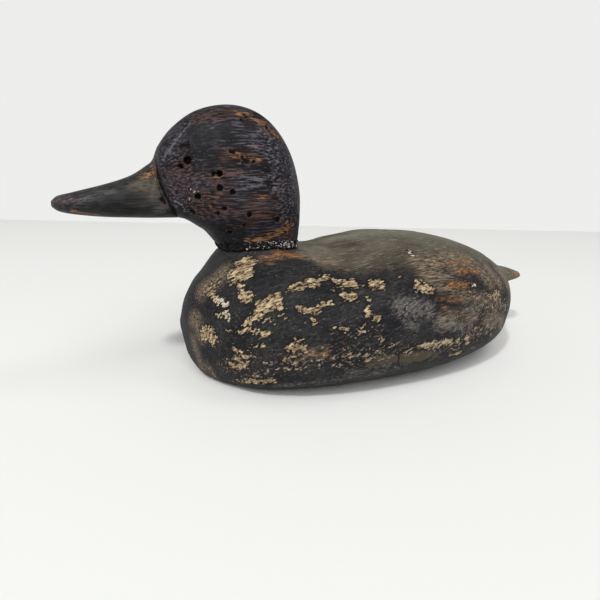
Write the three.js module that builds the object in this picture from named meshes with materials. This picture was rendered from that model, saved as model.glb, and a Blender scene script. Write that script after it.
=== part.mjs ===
// Bluebill decoy: a working duck decoy carved in wood. A low, broad body with a thin tail paddle
// carries a separate head, whose neck, head and bill are one carved piece.
// Millimetres, +Z up. The bill points along -X, and the decoy stands on its flat underside at z = 0.
import * as THREE from "three";

// Driving dimensions
const LENGTH = 275; // bill tip to tail tip
const SEAT_HEIGHT = 65; // top of the shelf on the body that the neck stands on
const SEAT_ARCH = 2.2; // how far the shelf has fallen at the front and back of the neck
const NECK_BEND = 8; // height over which the neck takes up the shelf's arch
const NECK_HOLLOW = 1.2; // how far the middle of the neck's foot stays above the shelf
const BACK_HEIGHT = 67.9; // highest point of the back
const CROWN_HEIGHT = 129.8; // top of the head
const BODY_HALF_WIDTH = 62.5;
const HEAD_HALF_WIDTH = 24.5;
const BILL_HALF_WIDTH = 11.7;

const GROOVE_DEPTH = 1.7; // cut between bill and face
const GROOVE_BOW = 2.6; // how far the middle of that cut bows towards the bill
const FACET_START = 0.86; // the flats beside the crown start at this share of a section's height
const FACET_TOP = 0.3; // and leave this share of the half width on top

const SEAT_MARGIN = 1.02; // seat outline, as a share of the neck's outline
const SEAT_FALL_FRONT = 2; // how far outside the neck the seat runs out, in front
const SEAT_FALL_BACK = 10; // and behind
const FILLER_WIDTH = 1.6; // bead of old filler round the foot of the neck
const FILLER_HEIGHT = 3.4;
const FILLER_THINNING = 0.6; // share of its width that it loses in front and behind
const JOINT_GAP = 0.3; // clearance between pieces that touch

const BODY_RINGS = 50;
const BODY_SIDES = 40;
const HEAD_SIDES = 32;
const HEAD_STEP = 5.5; // longest distance between two rings of the head
const FILLER_SIDES = 32;

// Body lines: [distance behind the bill tip, value], smooth between the points
const BREAST = 50.1; // foremost point of the body
const BODY_LINES = {
  top: [
    [BREAST, 26], [51.9, 34.5], [57.2, 45], [64.2, 52.8], [70.2, 59.8], [73.4, 62.6], [79.6, 64.2],
    [94.6, 64.6], [110, 63.6], [118, 62.2], [127.6, 62.1], [144.6, 65.6], [164.6, BACK_HEIGHT], [184.6, 67.1],
    [204.6, 64], [224.6, 57.4], [236.6, 51.6], [246.6, 46.6], [254.1, 43], [262.6, 41], [LENGTH, 36.8],
  ],
  underside: [
    [BREAST, 22], [52.6, 8.6], [59.6, -0.4], [69.6, -3], [99.6, -4.5], [149.6, -5], [179.6, -4],
    [209.6, -1.5],
    [227.6, 1.5], [239.6, 7], [245.6, 14], [249.6, 25], [253.1, 31], [LENGTH, 34.4],
  ],
  halfWidth: [
    [BREAST, 3], [52.6, 13.5], [59.6, 28.5], [69.6, 40.5], [84.6, 52], [104.6, 59],
    [129.6, BODY_HALF_WIDTH], [151.6, BODY_HALF_WIDTH], [174.6, 61], [199.6, 56], [219.6, 47.5],
    [232.6, 38], [241.6, 27.5], [247.6, 19], [251.1, 14.5], [254.1, 12.8], [261.6, 11.5],
    [270, 8], [LENGTH, 2.5],
  ],
  widestHeight: [[BREAST, 24], [159.6, 25], [209.6, 26], [239.6, 30], [249.6, 35], [LENGTH, 35.6]],
  upperRoundness: [[BREAST, 1.75], [69.6, 1.85], [94.6, 2.05], [139.6, 2.25], [239.6, 2.2], [LENGTH, 2]],
  lowerRoundness: [
    [BREAST, 2.8], [79.6, 3.1], [109.6, 2.9], [139.6, 2.75], [179.6, 2.75], [209.6, 2.7],
    [239.6, 2.5], [LENGTH, 2],
  ],
};

// Head sections, from the neck's foot over the crown to the bill. Each one fans out from a point on the
// throat or under the bill to a point on the nape, the crown or the top of the bill:
// [throat distance, height, outer distance, height, half width, roundness, where it is widest]
const HEAD_SECTIONS = [
  [72.6, SEAT_HEIGHT + JOINT_GAP, 112.4, SEAT_HEIGHT + JOINT_GAP, 18.8, 2.1, 0.5],
  [69.9, 68.2, 113.8, 71, 19, 2.1, 0.5],
  [65.6, 71.9, 114.3, 80, 20.6, 2.2, 0.5],
  [61.6, 74.6, 113.2, 92, 22.8, 2.4, 0.5],
  [59, 76.4, 109.3, 106.2, 24, 2.5, 0.5],
  [57.4, 77.4, 102.3, 118.8, HEAD_HALF_WIDTH, 2.5, 0.5],
  [56.3, 78, 91.2, 127.3, 24, 2.5, 0.5],
  [55.4, 78.4, 77.6, CROWN_HEIGHT, 22.5, 2.5, 0.5],
  [54.7, 78.7, 63.7, 126.5, 20, 2.6, 0.47],
  [54.1, 78.9, 52.9, 119.2, 17.2, 2.7, 0.45],
  [53.5, 79, 46.4, 111.4, 14.8, 2.7, 0.42],
  [52.3, 79.1, 43.4, 105, 13.2, 2.5, 0.4],
  [47.6, 79.1, 39.9, 102.2, 12.3, 2.3, 0.4],
  [35.6, 79.3, 32.6, 98, BILL_HALF_WIDTH, 2.3, 0.42],
  [21.6, 80, 20.6, 94, 11.4, 2.2, 0.45],
  [9.6, 81.2, 9.4, 91.1, 10, 2.1, 0.5],
  [3.1, 82.6, 3, 89.5, 7.2, 2, 0.5],
  [0.4, 84.4, 0.4, 87.6, 3.2, 2, 0.5],
];
const BILL_TIP_HEIGHT = 86.1;
const CROWN_SECTION = 6; // the flats beside the crown run from this section
const FACE_SECTION = 10; // to this one, where the face meets the groove
const GROOVE_SECTION = 10.5;
const NECK_CENTRE = (HEAD_SECTIONS[0][0] + HEAD_SECTIONS[0][2]) / 2;
const NECK_HALF_LENGTH = (HEAD_SECTIONS[0][2] - HEAD_SECTIONS[0][0]) / 2;
const NECK_HALF_WIDTH = HEAD_SECTIONS[0][4];

// A distance behind the bill tip, as X
const alongX = (distance) => distance - LENGTH / 2;

const clamp = (value, low, high) => Math.min(Math.max(value, low), high);

const signedPower = (value, power) => Math.sign(value) * Math.abs(value) ** power;

// Smooth step from 1 at zero down to 0 at the width
function fade(distance, width) {
  const t = clamp(distance / width, 0, 1);
  return 1 - t * t * (3 - 2 * t);
}

// A cubic through the points that never swings past them
function monotoneLine(points) {
  const steps = points.slice(1).map(([x], k) => x - points[k][0]);
  const slopes = points.slice(1).map(([, y], k) => (y - points[k][1]) / steps[k]);
  const tangents = points.map((_, k) => {
    if (k === 0) return slopes[0];
    if (k === slopes.length) return slopes[k - 1];
    if (slopes[k - 1] * slopes[k] <= 0) return 0;
    const before = 2 * steps[k] + steps[k - 1];
    const after = steps[k] + 2 * steps[k - 1];
    return (before + after) / (before / slopes[k - 1] + after / slopes[k]);
  });
  return (x) => {
    const next = points.findIndex(([start]) => start > x);
    const k = next < 0 ? steps.length - 1 : Math.max(next - 1, 0);
    const t = clamp((x - points[k][0]) / steps[k], 0, 1);
    const start = (1 + 2 * t) * (1 - t) ** 2 * points[k][1] + t * (1 - t) ** 2 * steps[k] * tangents[k];
    const end = t * t * (3 - 2 * t) * points[k + 1][1] + t * t * (t - 1) * steps[k] * tangents[k + 1];
    return start + end;
  };
}

// Catmull-Rom through the head's sections: the section at a whole or broken place
function sectionAt(place) {
  const last = HEAD_SECTIONS.length - 1;
  const k = clamp(Math.floor(place), 0, last - 1);
  const t = place - k;
  return HEAD_SECTIONS[k].map((b, column) => {
    const c = HEAD_SECTIONS[k + 1][column];
    const a = k > 0 ? HEAD_SECTIONS[k - 1][column] : 2 * b - c;
    const d = k < last - 1 ? HEAD_SECTIONS[k + 2][column] : 2 * c - b;
    return 0.5 * (2 * b + (c - a) * t + (2 * a - 5 * b + 4 * c - d) * t * t
      + (3 * b - a - 3 * c + d) * t * t * t);
  });
}

// The seat under the neck, arched from front to back
function seatHeight(x) {
  return SEAT_HEIGHT - SEAT_ARCH * ((x - alongX(NECK_CENTRE)) / NECK_HALF_LENGTH) ** 2;
}

// One point of the head: an angle of 0 is on the throat, half a turn is on the crown
function headPoint(place, angle) {
  const [innerAt, innerZ, outerAt, outerZ, halfWidth, roundness, widest] = sectionAt(place);
  const share = 0.5 - 0.5 * signedPower(Math.cos(angle), 2 / roundness);
  const up = share ** (Math.log(widest) / Math.log(0.5));
  let side = Math.abs(signedPower(Math.sin(angle), 2 / roundness));
  const facet = fade(CROWN_SECTION - place, 1.5) * fade(place - FACE_SECTION, 0.5);
  const flat = 1 - (1 - FACET_TOP) * clamp((up - FACET_START) / (1 - FACET_START), 0, 1);
  side -= facet * Math.max(side - flat, 0);
  const nearGroove = clamp(1 - Math.abs(place - GROOVE_SECTION) / 0.5, 0, 1);
  const bow = GROOVE_BOW * fade(Math.abs(place - GROOVE_SECTION), 2) * Math.sin(Math.PI * up);
  const halfSpan = Math.max(halfWidth * side - GROOVE_DEPTH * nearGroove * Math.sqrt(side), 0);
  const x = alongX(innerAt + (outerAt - innerAt) * up - bow);
  const z = innerZ + (outerZ - innerZ) * up;
  const bend = (seatHeight(x) - SEAT_HEIGHT) * fade(z - SEAT_HEIGHT - JOINT_GAP, NECK_BEND);
  return new THREE.Vector3(x, -Math.sign(Math.sin(angle)) * halfSpan, z + bend);
}

// How far a point stands outside the neck's outline, in millimetres
function outsideNeck(x, y) {
  const dx = (x - alongX(NECK_CENTRE)) / NECK_HALF_LENGTH;
  const dy = y / NECK_HALF_WIDTH;
  return (Math.hypot(dx, dy) - SEAT_MARGIN) * NECK_HALF_WIDTH;
}

// The body is cut to the seat under the neck, and the seat runs out around it
function cutSeat(x, y, z) {
  const behind = (x - alongX(NECK_CENTRE)) / NECK_HALF_LENGTH;
  const share = Math.min(Math.max(0.5 + behind / 2, 0), 1);
  const fall = SEAT_FALL_FRONT + (SEAT_FALL_BACK - SEAT_FALL_FRONT) * share;
  return z + (seatHeight(x) - z) * fade(outsideNeck(x, y), fall);
}

// One point of the body: an angle of 0 is on the back, half a turn is on the underside
function bodyPoint(lines, distance, angle) {
  const up = Math.cos(angle) >= 0;
  const roundness = up ? lines.upperRoundness(distance) : lines.lowerRoundness(distance);
  const edge = up ? lines.top(distance) : lines.underside(distance);
  const middle = lines.widestHeight(distance);
  const x = alongX(distance);
  const y = -lines.halfWidth(distance) * signedPower(Math.sin(angle), 2 / roundness);
  const z = middle + (edge - middle) * Math.abs(Math.cos(angle)) ** (2 / roundness);
  const cut = up && z > middle + 10 ? cutSeat(x, y, z) : z;
  return new THREE.Vector3(x, y, Math.max(cut, 0));
}

// Distances of the body's rings, closer together where its lines change fast
function ringDistances(lines, count) {
  const samples = 2000;
  const at = (k) => BREAST + ((LENGTH - BREAST) * k) / samples;
  const travelled = [0];
  for (let k = 1; k <= samples; k += 1) {
    const rise = lines.top(at(k)) - lines.top(at(k - 1));
    const drop = lines.underside(at(k)) - lines.underside(at(k - 1));
    const spread = lines.halfWidth(at(k)) - lines.halfWidth(at(k - 1));
    travelled.push(travelled[k - 1] + Math.hypot(at(k) - at(k - 1), rise, drop, spread));
  }
  return Array.from({ length: count }, (_, ring) => {
    const goal = (travelled[samples] * ring) / (count - 1);
    return at(travelled.findIndex((length) => length >= goal - 1e-9));
  });
}

// Places of the head's rings: every section, with even steps between
function headPlaces() {
  const places = [0];
  for (let k = 0; k < HEAD_SECTIONS.length - 1; k += 1) {
    const span = headPoint(k, Math.PI).distanceTo(headPoint(k + 1, Math.PI));
    const steps = 2 * Math.max(1, Math.round(span / HEAD_STEP / 2));
    for (let step = 1; step <= steps; step += 1) places.push(k + step / steps);
  }
  return places;
}

// A closed skin over rings of points, with a cap at each end. Angles run so that faces point outwards.
function skin(rings, firstCap, lastCap) {
  const sides = rings[0].length;
  const positions = rings.flat().concat([firstCap, lastCap]).flatMap((point) => point.toArray());
  const first = rings.length * sides;
  const indices = [];
  for (let ring = 0; ring < rings.length - 1; ring += 1) {
    for (let side = 0; side < sides; side += 1) {
      const a = ring * sides + side;
      const b = ring * sides + ((side + 1) % sides);
      indices.push(a, b, b + sides, a, b + sides, a + sides);
    }
  }
  for (let side = 0; side < sides; side += 1) {
    const next = (side + 1) % sides;
    indices.push(first, next, side);
    indices.push(first + 1, first - sides + side, first - sides + next);
  }
  return closedGeometry(positions, indices);
}

function closedGeometry(positions, indices) {
  const geometry = new THREE.BufferGeometry();
  geometry.setAttribute("position", new THREE.Float32BufferAttribute(positions, 3));
  geometry.setIndex(indices);
  geometry.computeVertexNormals();
  return geometry;
}

function angles(sides, half = 0) {
  return Array.from({ length: sides }, (_, side) => (2 * Math.PI * (side + half)) / sides);
}

function centreOf(ring) {
  const sum = ring.reduce((total, point) => total.add(point), new THREE.Vector3());
  return sum.divideScalar(ring.length);
}

function bodyGeometry() {
  const lines = {};
  for (const [name, points] of Object.entries(BODY_LINES)) lines[name] = monotoneLine(points);
  const rings = ringDistances(lines, BODY_RINGS).map(
    (distance) => angles(BODY_SIDES).map((angle) => bodyPoint(lines, distance, angle)),
  );
  return skin(rings, centreOf(rings[0]), centreOf(rings[rings.length - 1]));
}

function headGeometry() {
  const rings = headPlaces().map((place) => angles(HEAD_SIDES).map((angle) => headPoint(place, angle)));
  const hollow = new THREE.Vector3(alongX(NECK_CENTRE), 0, SEAT_HEIGHT + NECK_HOLLOW);
  return skin(rings, hollow, new THREE.Vector3(alongX(0), 0, BILL_TIP_HEIGHT));
}

// Where the neck's wall stands at an angle and a rise above the seat
function neckWall(angle, rise) {
  let place = 0;
  const risen = () => headPoint(place, angle).z - seatHeight(headPoint(place, angle).x) - JOINT_GAP;
  while (risen() < rise) place += 0.02;
  return headPoint(place, angle);
}

// The bead's section is a low wedge: it rests on the seat and leans against the neck
function fillerGeometry() {
  const profile = [
    [0, JOINT_GAP],
    [0, JOINT_GAP + FILLER_WIDTH],
    [FILLER_HEIGHT * 0.5, JOINT_GAP + FILLER_WIDTH * 0.85],
    [FILLER_HEIGHT, JOINT_GAP + FILLER_WIDTH * 0.3],
    [FILLER_HEIGHT, JOINT_GAP * 1.2],
  ];
  const centre = new THREE.Vector3(alongX(NECK_CENTRE), 0, 0);
  const points = angles(FILLER_SIDES).flatMap((angle) => profile.map(([rise, out]) => {
    const wall = neckWall(angle, rise);
    const away = wall.clone().sub(centre).setZ(0).normalize();
    const thinning = 1 - FILLER_THINNING * Math.abs(away.x) ** 3;
    wall.addScaledVector(away, JOINT_GAP + (out - JOINT_GAP) * thinning);
    return wall.setZ(seatHeight(wall.x) + JOINT_GAP + rise);
  }));
  const indices = [];
  for (let side = 0; side < FILLER_SIDES; side += 1) {
    for (let corner = 0; corner < profile.length; corner += 1) {
      const next = (corner + 1) % profile.length;
      const a = side * profile.length + corner;
      const b = side * profile.length + next;
      const c = ((side + 1) % FILLER_SIDES) * profile.length + next;
      const d = ((side + 1) % FILLER_SIDES) * profile.length + corner;
      indices.push(a, c, b, a, d, c);
    }
  }
  return closedGeometry(points.flatMap((point) => point.toArray()), indices);
}

function piece(name, geometry, color, roughness) {
  const mesh = new THREE.Mesh(geometry, new THREE.MeshStandardMaterial({ color, roughness, metalness: 0 }));
  mesh.name = name;
  return mesh;
}

const decoy = new THREE.Group();
decoy.add(piece("body", bodyGeometry(), 0x37352f, 0.78));
decoy.add(piece("head", headGeometry(), 0x2a2830, 0.72));
decoy.add(piece("neck_filler", fillerGeometry(), 0x1c1b1a, 0.9));

export default decoy;
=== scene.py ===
"""Bluebill decoy: the looks of an old carved working decoy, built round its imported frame.

The body, the head and the filler round the neck are fine surfaces worked out with numpy. Each one
replaces its plain solid, keeps its form, and adds what a close look shows: the grain, the holes, the
chips, the cut between bill and face, and paint worn through to the wood. Surfaces are worked out in
millimetres and put into the meshes in metres.
"""

import bpy
import numpy as np
from bpy.props import FloatProperty, FloatVectorProperty, IntProperty, PointerProperty
from mathutils import Matrix, Vector


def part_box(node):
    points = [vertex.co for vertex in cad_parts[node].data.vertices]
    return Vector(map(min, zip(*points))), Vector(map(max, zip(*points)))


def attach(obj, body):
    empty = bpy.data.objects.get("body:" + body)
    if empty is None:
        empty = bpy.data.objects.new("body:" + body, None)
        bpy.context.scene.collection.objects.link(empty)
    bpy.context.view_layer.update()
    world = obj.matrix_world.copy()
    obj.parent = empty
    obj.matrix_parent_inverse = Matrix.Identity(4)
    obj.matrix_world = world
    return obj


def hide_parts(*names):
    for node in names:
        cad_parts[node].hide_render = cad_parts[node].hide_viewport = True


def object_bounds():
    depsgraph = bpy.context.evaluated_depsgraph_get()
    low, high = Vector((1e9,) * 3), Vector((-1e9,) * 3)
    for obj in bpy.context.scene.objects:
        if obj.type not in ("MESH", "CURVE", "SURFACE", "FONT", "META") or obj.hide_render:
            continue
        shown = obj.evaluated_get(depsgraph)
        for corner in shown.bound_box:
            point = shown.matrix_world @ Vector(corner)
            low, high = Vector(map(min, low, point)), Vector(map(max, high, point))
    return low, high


bl_info = {
    "name": "Bluebill Decoy",
    "version": (1, 0, 0),
    "blender": (4, 5, 0),
    "location": "View3D > Sidebar > Decoy",
    "description": "Builds a carved and worn duck decoy with its stage",
    "category": "Add Mesh",
}

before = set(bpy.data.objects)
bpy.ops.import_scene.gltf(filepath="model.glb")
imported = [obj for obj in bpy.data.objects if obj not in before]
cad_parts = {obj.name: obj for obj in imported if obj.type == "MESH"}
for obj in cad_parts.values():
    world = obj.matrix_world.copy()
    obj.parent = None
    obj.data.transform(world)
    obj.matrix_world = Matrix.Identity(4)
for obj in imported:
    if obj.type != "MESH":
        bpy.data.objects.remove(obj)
CAD_LOW, CAD_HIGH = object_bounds()

MM = 0.001

# Sizes in millimetres, from the frame where it has them
LENGTH = (CAD_HIGH.x - CAD_LOW.x) / MM
CROWN_HEIGHT = CAD_HIGH.z / MM
BODY_HALF_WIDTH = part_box("body")[1].y / MM
HEAD_HALF_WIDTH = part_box("head")[1].y / MM
BACK_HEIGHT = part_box("body")[1].z / MM
BILL_HALF_WIDTH = 11.7
JOINT_GAP = 0.3

# The seat under the neck. It is cut only into skin that is so far above the body's widest height.
SEAT_ARCH = 2.2
SEAT_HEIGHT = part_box("head")[0].z / MM + SEAT_ARCH - JOINT_GAP
SEAT_MARGIN = 1.02
SEAT_FALL_FRONT = 2
SEAT_FALL_BACK = 10
SEAT_ABOVE_WIDEST = 10
NECK_FOOT = SEAT_HEIGHT + JOINT_GAP
NECK_BEND = 8
NECK_HOLLOW = 1.2

# The cut between bill and face: a narrow notch in a wide, shallow dip. Its reaches along the head are in
# sections.
GROOVE_DEPTH = 1.9
GROOVE_HALF_WIDTH = 1.5
GROOVE_DIP_SHARE = 0.25
GROOVE_DIP_HALF_WIDTH = 3.5
GROOVE_BOW = 2.6
GROOVE_BOW_REACH = 2
GROOVE_EXTRA_RINGS = 2.5
GROOVE_EXTRA_REACH = 0.4

# The flats beside the crown, as shares of a section's height and half width, and how many sections they
# take to run out
FACET_START = 0.86
FACET_TOP = 0.3
FACET_END_CROWN = 1.5
FACET_END_FACE = 0.5

# The filler round the neck. It leans on the head's first sections, and its white crumbs come in along X.
FILLER_WIDTH = 1.7
FILLER_HEIGHT = 3
FILLER_THINNING = 0.6
FILLER_REACH = 2.2
FILLER_RELIEF = 0.9
FILLER_WHITE = ((-62, -0.8), (-54, 0.1), (-46, 0.6), (-38, 1), (-24, 0.8))

# The filler's lumps and clods, as shares of its size, with their lengths, and how far they may go together.
# Its roughness starts a little way out from the neck, and it stands off the neck by a share of the joint.
FILLER_LUMPS = 0.22
FILLER_LUMP_SIZE = 7
FILLER_CLODS = 0.14
FILLER_CLOD_SIZE = 2.5
FILLER_LUMP_LIMITS = (0.4, 1.5)
FILLER_ROUGH = 0.16
FILLER_ROUGH_SIZE = 1.6
FILLER_ROUGH_START = 0.05
FILLER_GAP_SHARE = 0.6

# How finely lines and rings are sampled before points are spread evenly over them, and how closely the
# flat underside is covered, as a share of the rest
LINE_SAMPLES = 4000
NECK_SAMPLES = 441
HEAD_SAMPLES = 3000
RING_SAMPLES = 1441
UNDERSIDE_SHARE = 0.3

# Body lines: (distance behind the bill tip, value), smooth between the points
BREAST = 50.1
BODY_LINES = {
    "top": (
        (BREAST, 26), (51.9, 34.5), (57.2, 45), (64.2, 52.8), (70.2, 59.8), (73.4, 62.6), (79.6, 64.2),
        (94.6, 64.6), (110, 63.6), (118, 62.2), (127.6, 62.1), (144.6, 65.6), (164.6, BACK_HEIGHT),
        (184.6, 67.1), (204.6, 64), (224.6, 57.4), (236.6, 51.6), (246.6, 46.6), (254.1, 43),
        (262.6, 41), (LENGTH, 36.8),
    ),
    "underside": (
        (BREAST, 22), (52.6, 8.6), (59.6, -0.4), (69.6, -3), (99.6, -4.5), (149.6, -5), (179.6, -4),
        (209.6, -1.5), (227.6, 1.5), (239.6, 7), (245.6, 14), (249.6, 25), (253.1, 31), (LENGTH, 34.4),
    ),
    "half_width": (
        (BREAST, 3), (52.6, 13.5), (59.6, 28.5), (69.6, 40.5), (84.6, 52), (104.6, 59),
        (129.6, BODY_HALF_WIDTH), (151.6, BODY_HALF_WIDTH), (174.6, 61), (199.6, 56), (219.6, 47.5),
        (232.6, 38), (241.6, 27.5), (247.6, 19), (251.1, 14.5), (254.1, 12.8), (261.6, 11.5),
        (270, 8), (LENGTH, 2.5),
    ),
    "widest_height": ((BREAST, 24), (159.6, 25), (209.6, 26), (239.6, 30), (249.6, 35), (LENGTH, 35.6)),
    "upper_roundness": ((BREAST, 1.75), (69.6, 1.85), (94.6, 2.05), (139.6, 2.25), (239.6, 2.2), (LENGTH, 2)),
    "lower_roundness": (
        (BREAST, 2.8), (79.6, 3.1), (109.6, 2.9), (139.6, 2.75), (179.6, 2.75), (209.6, 2.7),
        (239.6, 2.5), (LENGTH, 2),
    ),
}

# Head sections, from the neck's foot over the crown to the bill, each from the throat side to the crown
# side: (distance, height, outer distance, outer height, half width, roundness, where it is widest)
HEAD_SECTIONS = (
    (72.6, NECK_FOOT, 112.4, NECK_FOOT, 18.8, 2.1, 0.5),
    (69.9, 68.2, 113.8, 71, 19, 2.1, 0.5),
    (65.6, 71.9, 114.3, 80, 20.6, 2.2, 0.5),
    (61.6, 74.6, 113.2, 92, 22.8, 2.4, 0.5),
    (59, 76.4, 109.3, 106.2, 24, 2.5, 0.5),
    (57.4, 77.4, 102.3, 118.8, HEAD_HALF_WIDTH, 2.5, 0.5),
    (56.3, 78, 91.2, 127.3, 24, 2.5, 0.5),
    (55.4, 78.4, 77.6, CROWN_HEIGHT, 22.5, 2.5, 0.5),
    (54.7, 78.7, 63.7, 126.5, 20, 2.6, 0.47),
    (54.1, 78.9, 52.9, 119.2, 17.2, 2.7, 0.45),
    (53.5, 79, 46.4, 111.4, 14.8, 2.7, 0.42),
    (52.3, 79.1, 43.4, 105, 13.2, 2.5, 0.4),
    (47.6, 79.1, 39.9, 102.2, 12.3, 2.3, 0.4),
    (35.6, 79.3, 32.6, 98, BILL_HALF_WIDTH, 2.3, 0.42),
    (21.6, 80, 20.6, 94, 11.4, 2.2, 0.45),
    (9.6, 81.2, 9.4, 91.1, 10, 2.1, 0.5),
    (3.1, 82.6, 3, 89.5, 7.2, 2, 0.5),
    (0.4, 84.4, 0.4, 87.6, 3.2, 2, 0.5),
)
BILL_TIP_HEIGHT = 86.1
CROWN_SECTION = 6
FACE_SECTION = 10
GROOVE_SECTION = 10.5
NECK_CENTRE = (HEAD_SECTIONS[0][0] + HEAD_SECTIONS[0][2]) / 2 - LENGTH / 2
NECK_HALF_LENGTH = (HEAD_SECTIONS[0][2] - HEAD_SECTIONS[0][0]) / 2
NECK_HALF_WIDTH = HEAD_SECTIONS[0][4]

# Wear on the body's left side. Each streak runs from one place to another and has a half width, and one
# with a half width below zero is faint all through. A place is (X, distance down over the surface from
# the ridge of the back), in millimetres.
BODY_WEAR = {
    "bare": (
        # Breast, high
        (-60, 23, -54, 24, 3.1), (-63, 27, -58, 31, 3.6), (-65, 30, -63, 31, 1.6),
        (-60, 26.6, -56, 28, 2.6), (-61.6, 35, -61, 41, 1.4), (-62, 41.6, -59, 43, 1.9),
        (-59.6, 44, -56, 48, 1.4), (-74, 22, -71, 30, 1.8), (-72, 29, -68, 37, 1.8),
        (-72, 36, -68, 43, 1.4), (-75, 17, -70, 23, 1.3),
        # Breast, middle
        (-51, 48.4, -47, 49.4, 2.1), (-55, 51, -48, 52, 2.8), (-58, 51, -47, 54, 1.2),
        (-61, 54, -57, 53, 2), (-60, 59, -54, 63, 1.4), (-65, 54, -61, 56, 0.8), (-54, 57, -52, 59, 0.6),
        (-61, 65, -56, 67, 0.4), (-49, 58, -46, 59, 0.5), (-70, 47, -67, 49, 0.4), (-78, 36, -75, 42, 3.4),
        # Breast, low
        (-67, 60, -65, 63, 1.4), (-68, 67, -64, 71, 2.2), (-66, 65, -63, 68, 1.2), (-71, 57, -70, 60, 0.6),
        (-65, 81, -52, 88, 1.5), (-54, 89, -50, 90, 0.5), (-76, 62, -75, 66, 1.2),
        # Side, in front of the middle
        (-46, 73, -40, 74, 1.8), (-43, 70, -42, 72, 1), (-46, 82, -42, 82, 0.9), (-49, 78, -42, 78, 0.5),
        (-40, 46.2, -37, 46, 1.7), (-35, 46, -30, 44, 2.5), (-29, 43, -23, 41.4, 1.7),
        (-40, 58, -32, 59, 1.4), (-31, 57, -25, 56, 0.9), (-39, 63, -39, 63, 0.6),
        (-35, 63, -34, 64.6, 0.7), (-30, 68, -28, 69, 0.6), (-26, 68, -21, 69, 0.7),
        (-22, 49.8, -20, 48, 0.5),
        # Middle of the side
        (-21, 43, -15, 44.6, 1.3), (-17, 46.6, -11, 47, 2.4), (-17, 53.8, -13.4, 54, 2.4),
        (-13, 50, -12.6, 50.4, 1.3), (-6, 49.8, -4, 49.4, 0.8), (-2, 50, 1, 51.8, 2.6),
        (-7.2, 56.8, -9.4, 65, 0.9), (-10, 66, -15, 72, 0.4), (-6, 66, -4.8, 66.6, 1.4),
        (-5, 75, -3, 78, 0.6), (-2, 81, 1, 81, 0.6),
        # Rump and lower edge
        (18, 57, 26, 60, 1.9), (19, 55, 24, 57, 1.1), (14, 86, 36, 86, 1.7), (11, 85, 13, 86, 0.5),
        (52, 57, 51, 61, 0.6), (49, 58, 54, 56, 0.5), (62, 61, 70, 58, 1.3), (70, 58, 76, 54, 1.5),
        (66, 66, 72, 65, 0.9), (46, 85, 48, 87, 1), (42, 88, 44, 88, 0.7), (38, 94, 46, 93, 0.8),
        (53, 91, 58, 89, 0.8), (67, 79, 70, 77, 1), (26, 34, 26, 38, 0.8), (13, 41, 13, 41, 0.5),
        (12, 50, 13, 50, 0.4), (-24, 81, -17, 82, 0.3), (-12, 85, -9, 85, 0.6), (39, 73, 40, 75, 0.5),
    ),
    "pale": (
        (-71, 31, -68, 38, 2), (-72, 34, -68, 43, 1.4), (16, 86, 34, 86, 0.3), (26, 34, 26, 38, 2),
        (49, 58, 54, 56, 2), (-71, 57, -70, 60, 1.5),
    ),
    "rust": (
        (-42, 23, -30, 23, 2.4), (-50, 24, -43, 25, 1.3), (-50, 27, -46, 29, 0.6), (-33, 79, -29, 78, 0.9),
        (-41, 78, -35, 78, 0.6), (-22, 75, -22, 75, 0.7), (-68, 70, -66, 73, 0.3), (44, 44, 59, 41, 1.3),
        (47, 50, 60, 47, 2.2), (37, 58, 49, 57, 2.1), (29, 65, 42, 64, 1.1), (30, 68, 33, 69, 0.7),
        (124, 11, 129, 10, 1.6),
    ),
    "stains_and_edge_highlight": (
        # The first four lie on the breast's front edge: brown mottling, and a painted highlight where light
        # falls on that edge
        (-76, 15, -66, 22, 4), (-82, 21, -80, 33, 3), (-83, 30, -80, 54, 1.6), (-78, 54, -75, 68, 1),
        (-40, 78, -32, 78, 0.2), (-28, 22, -14, 28, 3), (26, 44, 60, 39, 5.2), (26, 52, 39, 52, 3),
        (29, 57, 36, 59, 2), (62, 40, 67, 51, 3.6), (73, 41, 78, 48, 3.4), (30, 75, 50, 72, 2.4),
        (55, 63, 72, 63, 1.6), (62, 73, 80, 68, 2), (44, 64, 54, 64, 1.8), (88, 36, 94, 46, 5),
        (97, 45, 104, 58, 5), (102, 64, 88, 80, 1.5), (108, 30, 112, 40, 3),
    ),
    "dust": (
        (7, 64, 20, 69, 4.8), (9, 73, 13, 75, 1.8), (27, 77, 46, 79, 2.9), (43, 69, 54, 68, 1.7),
        (60, 76, 84, 70, 3), (-20, 90, 30, 93, 1.5), (-50, 93, 10, 96, 1.5),
    ),
    "flat": ((-10, 87, 3, 88, 2.6), (6, 90, 19, 92, 3.2), (19, 91, 27, 92, 2.2)),
    "chips": (
        (-48, 80, 2, 84, 3), (2, 84, 40, 90, 2), (40, 88, 78, 72, 4), (-72, 62, -50, 79, 1),
        (-26, 71, -4, 73, 1.2), (-42, 77, -10, 80, 1), (-66, 80, -40, 84, 1), (56, 66, 84, 60, 5),
    ),
    "smudges_and_hollow_darkening": (
        # The first is a darker patch in the shallow hollow behind the neck
        (-6, 8, 3, 14, 3), (40, 69, 51, 67, 2), (39, 74, 43, 74, 1), (0, 46, 19, 48, 2),
        (2, 12, 36, 18, -0.6),
    ),
}
# A darker patch on the ridge, in the shallow hollow behind the neck
RIDGE_HOLLOW_DARKENING = (-8, 2, 2, 6, 3)
CRACK = (5, 87, 7, 94, 0.5)

# Depths of the body's wear, and the height over the floor in which all of it runs out. A flaked patch
# sinks over a ramp of its mark's strength, up to its full depth.
BARE_FULL = 0.75
BARE_RAMP = 0.5
CRACK_DEPTH = 0.5
CHIPS_DEPTH = 0.14
WORN_ABOVE = 3

# Lengths of the body's unevenness: the tools' flats, coarse and fine, the fine ones' share, and the chips
BODY_TOOL_SIZE = 26
BODY_FINE_TOOL_SIZE = 12
BODY_FINE_TOOL_SHARE = 0.5
CHIPS_SIZE = 3

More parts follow.
